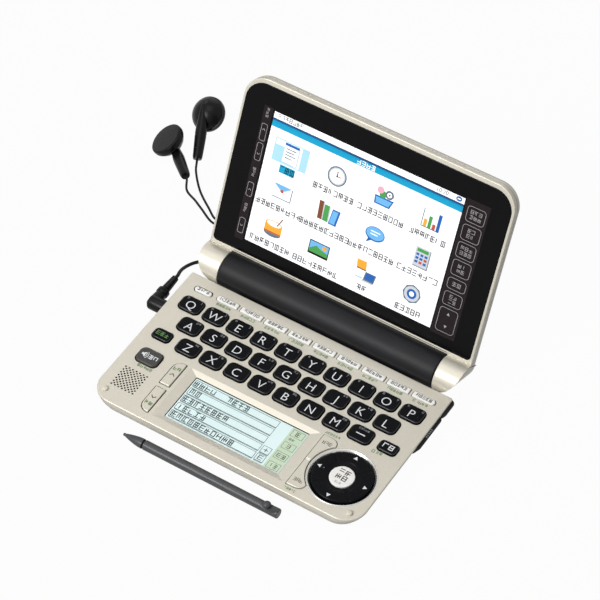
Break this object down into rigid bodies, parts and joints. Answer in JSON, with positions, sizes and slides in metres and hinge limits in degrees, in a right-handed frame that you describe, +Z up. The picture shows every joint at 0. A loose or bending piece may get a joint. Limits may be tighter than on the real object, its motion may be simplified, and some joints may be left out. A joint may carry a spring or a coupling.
{
  "type": "electronic dictionary",
  "caption": "Clamshell electronic dictionary with letter keys, touch pad, cursor disc, wide lid display, battery barrel hinge, stylus and earphones.",
  "frame": {"origin": "on the table, under the middle of the box of everything but the earphones", "axes": "+X to the right of the person using it, +Y to the rear, away from that person, +Z up"},
  "size_m": [0.219, 0.2006, 0.1036],
  "materials": {
    "shell_champagne": "satin champagne paint",
    "satin_black": "satin",
    "panel_black": "glossy",
    "key_black": "glossy",
    "key_ivory": "satin",
    "rubber_black": "matt",
    "circuit_board": "matt",
    "hinge_steel": "brushed",
    "battery_wrap": "glossy",
    "display_glass": "lit",
    "earphone_black": "satin",
    "stylus_grey": "satin"
  },
  "bodies": {
    "base": {"top_cover": "shell_champagne", "bottom_case": "shell_champagne", "hinge_barrel": "satin_black", "battery_left": "battery_wrap", "battery_right": "battery_wrap", "main_board": "circuit_board", "key_membrane": "rubber_black", "pad_panel": "display_glass", "stylus_catch": "satin_black", "friction_hinge": "hinge_steel"},
    "lid": {"lid_cover": "shell_champagne", "touch_panel": "panel_black", "display_module": "display_glass"},
    "battery_hatch": {"battery_door": "satin_black"},
    "slot_flap": {"slot_cover": "rubber_black"},
    "pen": {"stylus": "stylus_grey"},
    "earphones": {"earphone_plug": "earphone_black", "cord_lead": "earphone_black", "cord_coil": "earphone_black", "cord_splitter": "earphone_black", "branch_left": "earphone_black", "branch_right": "earphone_black", "bud_left": "earphone_black", "bud_right": "earphone_black"},
    "key_q_cap": {"key_q": "key_black"},
    "key_w_cap": {"key_w": "key_black"},
    "key_e_cap": {"key_e": "key_black"},
    "key_r_cap": {"key_r": "key_black"},
    "key_t_cap": {"key_t": "key_black"},
    "key_y_cap": {"key_y": "key_black"},
    "key_u_cap": {"key_u": "key_black"},
    "key_i_cap": {"key_i": "key_black"},
    "key_o_cap": {"key_o": "key_black"},
    "key_p_cap": {"key_p": "key_black"},
    "key_a_cap": {"key_a": "key_black"},
    "key_s_cap": {"key_s": "key_black"},
    "key_d_cap": {"key_d": "key_black"},
    "key_f_cap": {"key_f": "key_black"},
    "key_g_cap": {"key_g": "key_black"},
    "key_h_cap": {"key_h": "key_black"},
    "key_j_cap": {"key_j": "key_black"},
    "key_k_cap": {"key_k": "key_black"},
    "key_l_cap": {"key_l": "key_black"},
    "key_z_cap": {"key_z": "key_black"},
    "key_x_cap": {"key_x": "key_black"},
    "key_c_cap": {"key_c": "key_black"},
    "key_v_cap": {"key_v": "key_black"},
    "key_b_cap": {"key_b": "key_black"},
    "key_n_cap": {"key_n": "key_black"},
    "key_m_cap": {"key_m": "key_black"},
    "key_dash_cap": {"key_dash": "key_black"},
    "key_power_cap": {"key_power": "key_ivory"},
    "key_function_cap": {"key_function": "key_black"},
    "key_backspace_cap": {"key_backspace": "key_black"},
    "key_voice_cap": {"key_voice": "key_black"},
    "function_keys": {"function_key_strip": "key_ivory"},
    "page_keys": {"page_rocker": "shell_champagne"},
    "jump_back_keys": {"jump_back_rocker": "shell_champagne"},
    "cursor_keys": {"cursor_ring": "key_black"},
    "enter": {"enter_key": "key_ivory"}
  },
  "joints": [
    {"name": "lid_hinge", "type": "hinge", "parent": "base", "child": "lid", "pos_m": [-0.00075, 0.0308, 0.0097], "axis": [-1, 0, 0], "range_deg": [-113, 45]},
    {"name": "battery_hatch_slide", "type": "slide", "parent": "base", "child": "battery_hatch", "axis": [0, 0.6429, -0.7659], "range_m": [0, 0.01]},
    {"name": "slot_flap_hinge", "type": "hinge", "parent": "base", "child": "slot_flap", "pos_m": [0.07355, 0.0077, 0.0062], "axis": [0, 0, 1], "range_deg": [0, 95]},
    {"name": "pen_lift", "type": "slide", "parent": "base", "child": "pen", "axis": [0, 0, 1], "range_m": [0, 0.03]},
    {"name": "earphone_pull", "type": "slide", "parent": "base", "child": "earphones", "axis": [-1, 0, 0], "range_m": [0, 0.016]},
    {"name": "key_q_press", "type": "slide", "parent": "base", "child": "key_q_cap", "axis": [0, 0, -1], "range_m": [0, 0.0008], "stiffness_N_per_m": 800, "springref_m": -0.0003},
    {"name": "key_w_press", "type": "slide", "parent": "base", "child": "key_w_cap", "axis": [0, 0, -1], "range_m": [0, 0.0008], "stiffness_N_per_m": 800, "springref_m": -0.0003},
    {"name": "key_e_press", "type": "slide", "parent": "base", "child": "key_e_cap", "axis": [0, 0, -1], "range_m": [0, 0.0008], "stiffness_N_per_m": 800, "springref_m": -0.0003},
    {"name": "key_r_press", "type": "slide", "parent": "base", "child": "key_r_cap", "axis": [0, 0, -1], "range_m": [0, 0.0008], "stiffness_N_per_m": 800, "springref_m": -0.0003},
    {"name": "key_t_press", "type": "slide", "parent": "base", "child": "key_t_cap", "axis": [0, 0, -1], "range_m": [0, 0.0008], "stiffness_N_per_m": 800, "springref_m": -0.0003},
    {"name": "key_y_press", "type": "slide", "parent": "base", "child": "key_y_cap", "axis": [0, 0, -1], "range_m": [0, 0.0008], "stiffness_N_per_m": 800, "springref_m": -0.0003},
    {"name": "key_u_press", "type": "slide", "parent": "base", "child": "key_u_cap", "axis": [0, 0, -1], "range_m": [0, 0.0008], "stiffness_N_per_m": 800, "springref_m": -0.0003},
    {"name": "key_i_press", "type": "slide", "parent": "base", "child": "key_i_cap", "axis": [0, 0, -1], "range_m": [0, 0.0008], "stiffness_N_per_m": 800, "springref_m": -0.0003},
    {"name": "key_o_press", "type": "slide", "parent": "base", "child": "key_o_cap", "axis": [0, 0, -1], "range_m": [0, 0.0008], "stiffness_N_per_m": 800, "springref_m": -0.0003},
    {"name": "key_p_press", "type": "slide", "parent": "base", "child": "key_p_cap", "axis": [0, 0, -1], "range_m": [0, 0.0008], "stiffness_N_per_m": 800, "springref_m": -0.0003},
    {"name": "key_a_press", "type": "slide", "parent": "base", "child": "key_a_cap", "axis": [0, 0, -1], "range_m": [0, 0.0008], "stiffness_N_per_m": 800, "springref_m": -0.0003},
    {"name": "key_s_press", "type": "slide", "parent": "base", "child": "key_s_cap", "axis": [0, 0, -1], "range_m": [0, 0.0008], "stiffness_N_per_m": 800, "springref_m": -0.0003},
    {"name": "key_d_press", "type": "slide", "parent": "base", "child": "key_d_cap", "axis": [0, 0, -1], "range_m": [0, 0.0008], "stiffness_N_per_m": 800, "springref_m": -0.0003},
    {"name": "key_f_press", "type": "slide", "parent": "base", "child": "key_f_cap", "axis": [0, 0, -1], "range_m": [0, 0.0008], "stiffness_N_per_m": 800, "springref_m": -0.0003},
    {"name": "key_g_press", "type": "slide", "parent": "base", "child": "key_g_cap", "axis": [0, 0, -1], "range_m": [0, 0.0008], "stiffness_N_per_m": 800, "springref_m": -0.0003},
    {"name": "key_h_press", "type": "slide", "parent": "base", "child": "key_h_cap", "axis": [0, 0, -1], "range_m": [0, 0.0008], "stiffness_N_per_m": 800, "springref_m": -0.0003},
    {"name": "key_j_press", "type": "slide", "parent": "base", "child": "key_j_cap", "axis": [0, 0, -1], "range_m": [0, 0.0008], "stiffness_N_per_m": 800, "springref_m": -0.0003},
    {"name": "key_k_press", "type": "slide", "parent": "base", "child": "key_k_cap", "axis": [0, 0, -1], "range_m": [0, 0.0008], "stiffness_N_per_m": 800, "springref_m": -0.0003},
    {"name": "key_l_press", "type": "slide", "parent": "base", "child": "key_l_cap", "axis": [0, 0, -1], "range_m": [0, 0.0008], "stiffness_N_per_m": 800, "springref_m": -0.0003},
    {"name": "key_z_press", "type": "slide", "parent": "base", "child": "key_z_cap", "axis": [0, 0, -1], "range_m": [0, 0.0008], "stiffness_N_per_m": 800, "springref_m": -0.0003},
    {"name": "key_x_press", "type": "slide", "parent": "base", "child": "key_x_cap", "axis": [0, 0, -1], "range_m": [0, 0.0008], "stiffness_N_per_m": 800, "springref_m": -0.0003},
    {"name": "key_c_press", "type": "slide", "parent": "base", "child": "key_c_cap", "axis": [0, 0, -1], "range_m": [0, 0.0008], "stiffness_N_per_m": 800, "springref_m": -0.0003},
    {"name": "key_v_press", "type": "slide", "parent": "base", "child": "key_v_cap", "axis": [0, 0, -1], "range_m": [0, 0.0008], "stiffness_N_per_m": 800, "springref_m": -0.0003},
    {"name": "key_b_press", "type": "slide", "parent": "base", "child": "key_b_cap", "axis": [0, 0, -1], "range_m": [0, 0.0008], "stiffness_N_per_m": 800, "springref_m": -0.0003},
    {"name": "key_n_press", "type": "slide", "parent": "base", "child": "key_n_cap", "axis": [0, 0, -1], "range_m": [0, 0.0008], "stiffness_N_per_m": 800, "springref_m": -0.0003},
    {"name": "key_m_press", "type": "slide", "parent": "base", "child": "key_m_cap", "axis": [0, 0, -1], "range_m": [0, 0.0008], "stiffness_N_per_m": 800, "springref_m": -0.0003},
    {"name": "key_dash_press", "type": "slide", "parent": "base", "child": "key_dash_cap", "axis": [0, 0, -1], "range_m": [0, 0.0008], "stiffness_N_per_m": 800, "springref_m": -0.0003},
    {"name": "key_power_press", "type": "slide", "parent": "base", "child": "key_power_cap", "axis": [0, 0, -1], "range_m": [0, 0.0008], "stiffness_N_per_m": 800, "springref_m": -0.0003},
    {"name": "key_function_press", "type": "slide", "parent": "base", "child": "key_function_cap", "axis": [0, 0, -1], "range_m": [0, 0.0008], "stiffness_N_per_m": 800, "springref_m": -0.0003},
    {"name": "key_backspace_press", "type": "slide", "parent": "base", "child": "key_backspace_cap", "axis": [0, 0, -1], "range_m": [0, 0.0008], "stiffness_N_per_m": 800, "springref_m": -0.0003},
    {"name": "key_voice_press", "type": "slide", "parent": "base", "child": "key_voice_cap", "axis": [0, 0, -1], "range_m": [0, 0.0008], "stiffness_N_per_m": 800, "springref_m": -0.0003},
    {"name": "function_keys_press", "type": "slide", "parent": "base", "child": "function_keys", "axis": [0, 0, -1], "range_m": [0, 0.0008], "stiffness_N_per_m": 800, "springref_m": -0.0003},
    {"name": "enter_press", "type": "slide", "parent": "base", "child": "enter", "axis": [0, 0, -1], "range_m": [0, 0.0008], "stiffness_N_per_m": 800, "springref_m": -0.0003},
    {"name": "page_tilt", "type": "hinge", "parent": "base", "child": "page_keys", "pos_m": [-0.04655, -0.04735, 0.0072], "axis": [1, 0, 0], "range_deg": [-1.5, 1.5], "stiffness_Nm_per_rad": 0.4},
    {"name": "jump_back_tilt", "type": "hinge", "parent": "base", "child": "jump_back_keys", "pos_m": [0.03625, -0.04735, 0.0072], "axis": [1, 0, 0], "range_deg": [-1.5, 1.5], "stiffness_Nm_per_rad": 0.4},
    {"name": "cursor_tilt", "type": "hinge", "parent": "base", "child": "cursor_keys", "pos_m": [0.05345, -0.04735, 0.0072], "axis": [1, 0, 0], "range_deg": [-1.5, 1.5], "stiffness_Nm_per_rad": 0.4}
  ]
}
